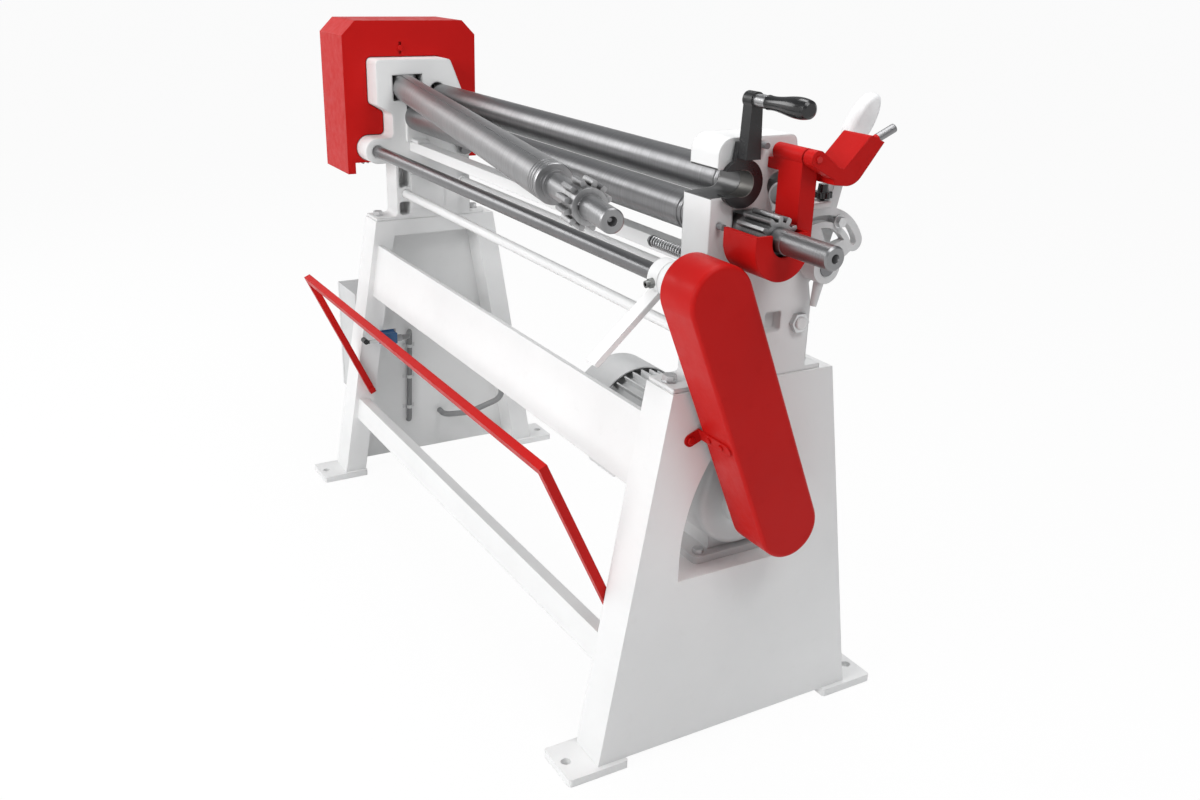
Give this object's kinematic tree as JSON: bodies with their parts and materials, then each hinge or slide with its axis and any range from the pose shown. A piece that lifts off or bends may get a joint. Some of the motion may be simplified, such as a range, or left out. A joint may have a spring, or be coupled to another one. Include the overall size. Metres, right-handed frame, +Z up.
{
  "type": "plate rolling machine",
  "caption": "Powered plate rolling machine on two plate stands, with a swing-out top roll, a jacked lower roll, a lever-set rear roll, gear and chain covers and a trip bar.",
  "frame": {"origin": "on the floor, in the middle of the rectangle of the four anchor holes", "axes": "+X along the lower roll towards the gear and lock lever end, -Y towards the operator, +Z up"},
  "size_m": [1.852, 0.727, 1.188],
  "materials": {
    "white_paint": "semi-gloss off-white paint",
    "red_paint": "gloss red paint",
    "black_paint": "satin black paint",
    "black_grip": "smooth black moulded plastic",
    "black_steel": "blackened steel",
    "grey_paint": "satin grey paint",
    "box_paint": "powder-coated light grey",
    "roll_steel": "ground steel with a light turned grain",
    "shaft_steel": "bare steel",
    "bar_steel": "milled steel",
    "gear_steel": "cut steel teeth",
    "zinc_steel": "zinc plated",
    "lever_iron": "cast iron, grey",
    "handle_plastic": "light grey plastic",
    "bronze": "plain bronze",
    "fan_plastic": "black plastic",
    "switch_plastic": "dark blue plastic",
    "switch_steel": "black lever with a dark roller",
    "conduit_steel": "grey conduit with pale clips",
    "hose_plastic": "grey corrugated conduit"
  },
  "bodies": {
    "base": {"left_stand": "white_paint", "right_stand": "white_paint", "upper_beam": "white_paint", "lower_beam": "white_paint", "left_housing": "white_paint", "right_housing": "white_paint", "housing_bolts": "zinc_steel", "web_covers": "white_paint", "front_tie_rod": "white_paint", "rear_tie_rod": "white_paint", "tie_rod_nuts": "zinc_steel", "shaft_bushes": "bronze", "gear_bracket": "lever_iron", "housing_pins": "shaft_steel", "left_gear_cover": "red_paint", "cover_strap": "black_paint", "motor_body": "grey_paint", "motor_cowl": "grey_paint", "terminal_box": "grey_paint", "reducer": "grey_paint", "reducer_bolts": "zinc_steel", "chain": "gear_steel", "chain_cover": "red_paint", "lower_guard": "red_paint", "clamp_bolt": "zinc_steel", "trip_pivots": "shaft_steel", "limit_switch": "switch_plastic", "rigid_conduit": "conduit_steel", "flexible_conduit": "hose_plastic", "electric_box": "box_paint", "detent_spring": "shaft_steel", "spring_rod": "shaft_steel"},
    "motor_rotor": {"motor_fan": "fan_plastic"},
    "reducer_output": {"reducer_sprocket": "gear_steel"},
    "drive": {"drive_shaft": "shaft_steel", "shaft_sprocket": "gear_steel", "pinion": "gear_steel"},
    "bull": {"bull_gear": "gear_steel"},
    "swing": {"swing_drum": "gear_steel"},
    "top": {"top_roll": "roll_steel", "top_roll_gear": "gear_steel"},
    "carriage": {"carriage_bar": "white_paint", "carriage_bearings": "white_paint"},
    "lower": {"lower_roll": "roll_steel", "lower_roll_gear": "gear_steel"},
    "left_jack": {"left_jack_screw": "shaft_steel"},
    "right_jack": {"right_jack_screw": "shaft_steel"},
    "rear_carriage": {"rear_slides": "bar_steel"},
    "rear": {"rear_roll": "roll_steel"},
    "adjuster": {"adjuster_shaft": "shaft_steel", "quadrant_lever": "lever_iron", "lever_handle": "handle_plastic"},
    "knob": {"star_knob": "black_grip"},
    "lock": {"lock_lever": "black_steel"},
    "grip": {"lock_grip": "black_grip"},
    "flap": {"upper_guard": "red_paint"},
    "control": {"control_lever": "white_paint"},
    "trip": {"trip_bar": "red_paint"},
    "switch_lever": {"switch_arm": "switch_steel"},
    "door": {"box_door": "box_paint"}
  },
  "joints": [
    {"name": "drive_spin", "type": "hinge", "parent": "base", "child": "drive", "pos_m": [0, -0.15071, 0.878], "axis": [1, 0, 0], "continuous": true},
    {"name": "motor_spin", "type": "hinge", "parent": "base", "child": "motor_rotor", "pos_m": [0.3, 0.02, 0.496], "axis": [1, 0, 0], "continuous": true},
    {"name": "output_spin", "type": "hinge", "parent": "base", "child": "reducer_output", "pos_m": [0.786, 0.02, 0.465], "axis": [1, 0, 0], "continuous": true},
    {"name": "bull_spin", "type": "hinge", "parent": "base", "child": "bull", "pos_m": [-0.782, -0.066, 1.0325], "axis": [1, 0, 0], "continuous": true},
    {"name": "top_swing", "type": "hinge", "parent": "base", "child": "swing", "pos_m": [-0.693, -0.066, 1.0325], "axis": [0, -0.0288, 0.9996], "range_deg": [0, 10.9]},
    {"name": "top_spin", "type": "hinge", "parent": "swing", "child": "top", "pos_m": [-0.693, -0.066, 1.0325], "axis": [0.982, -0.189, -0.0054], "continuous": true},
    {"name": "carriage_lift", "type": "slide", "parent": "base", "child": "carriage", "axis": [0, 0, 1], "range_m": [0, 0.008]},
    {"name": "lower_spin", "type": "hinge", "parent": "carriage", "child": "lower", "pos_m": [0, -0.05, 0.96098], "axis": [1, 0, 0], "continuous": true},
    {"name": "left_jack_turn", "type": "hinge", "parent": "carriage", "child": "left_jack", "pos_m": [-0.693, -0.05, 0.78], "axis": [0, 0, 1], "range_deg": [-1440, 0]},
    {"name": "right_jack_turn", "type": "hinge", "parent": "carriage", "child": "right_jack", "pos_m": [0.693, -0.05, 0.78], "axis": [0, 0, 1], "range_deg": [-1440, 0]},
    {"name": "lever_turn", "type": "hinge", "parent": "base", "child": "adjuster", "pos_m": [0.743, 0.097, 0.89], "axis": [1, 0, 0], "range_deg": [-34, 0]},
    {"name": "rear_lift", "type": "slide", "parent": "base", "child": "rear_carriage", "axis": [0, -0.3746, 0.9272], "range_m": [0, 0.0164]},
    {"name": "rear_spin", "type": "hinge", "parent": "rear_carriage", "child": "rear", "pos_m": [0, 0.02, 1.007], "axis": [1, 0, 0], "continuous": true},
    {"name": "knob_turn", "type": "hinge", "parent": "base", "child": "knob", "pos_m": [0.75, 0.09, 1], "axis": [0, 0, 1], "continuous": true},
    {"name": "lock_turn", "type": "hinge", "parent": "base", "child": "lock", "pos_m": [0.747, -0.066, 1.0325], "axis": [1, 0, 0], "range_deg": [-8, 98]},
    {"name": "grip_spin", "type": "hinge", "parent": "lock", "child": "grip", "pos_m": [0.84, -0.066, 1.1585], "axis": [1, 0, 0], "continuous": true},
    {"name": "flap_hinge", "type": "hinge", "parent": "base", "child": "flap", "pos_m": [0.82, 0.0015, 1.079], "axis": [1, 0, 0], "range_deg": [0, 98]},
    {"name": "control_turn", "type": "hinge", "parent": "base", "child": "control", "pos_m": [0.681, -0.15071, 0.878], "axis": [1, 0, 0], "range_deg": [-25, 25]},
    {"name": "trip_hinge", "type": "hinge", "parent": "base", "child": "trip", "pos_m": [0, -0.204, 0.252], "axis": [1, 0, 0], "range_deg": [-12.5, 0]},
    {"name": "switch_turn", "type": "hinge", "parent": "base", "child": "switch_lever", "pos_m": [-0.62, -0.16, 0.392], "axis": [1, 0, 0], "range_deg": [-20, 20], "stiffness_Nm_per_rad": 0.2},
    {"name": "door_hinge", "type": "hinge", "parent": "base", "child": "door", "pos_m": [-0.866, 0.101, 0.341], "axis": [0, 0, 1], "range_deg": [-110, 0]}
  ],
  "couplings": [
    {"joint": "motor_spin", "follows": "drive_spin", "ratio": 20},
    {"joint": "output_spin", "follows": "drive_spin", "ratio": 1},
    {"joint": "bull_spin", "follows": "drive_spin", "ratio": -0.33333},
    {"joint": "top_spin", "follows": "drive_spin", "ratio": -0.33333},
    {"joint": "lower_spin", "follows": "drive_spin", "ratio": 0.33333},
    {"joint": "left_jack_turn", "follows": "carriage_lift", "rad_per_m": -3141},
    {"joint": "right_jack_turn", "follows": "carriage_lift", "rad_per_m": -3141},
    {"joint": "rear_lift", "follows": "lever_turn", "m_per_rad": -0.027564}
  ]
}
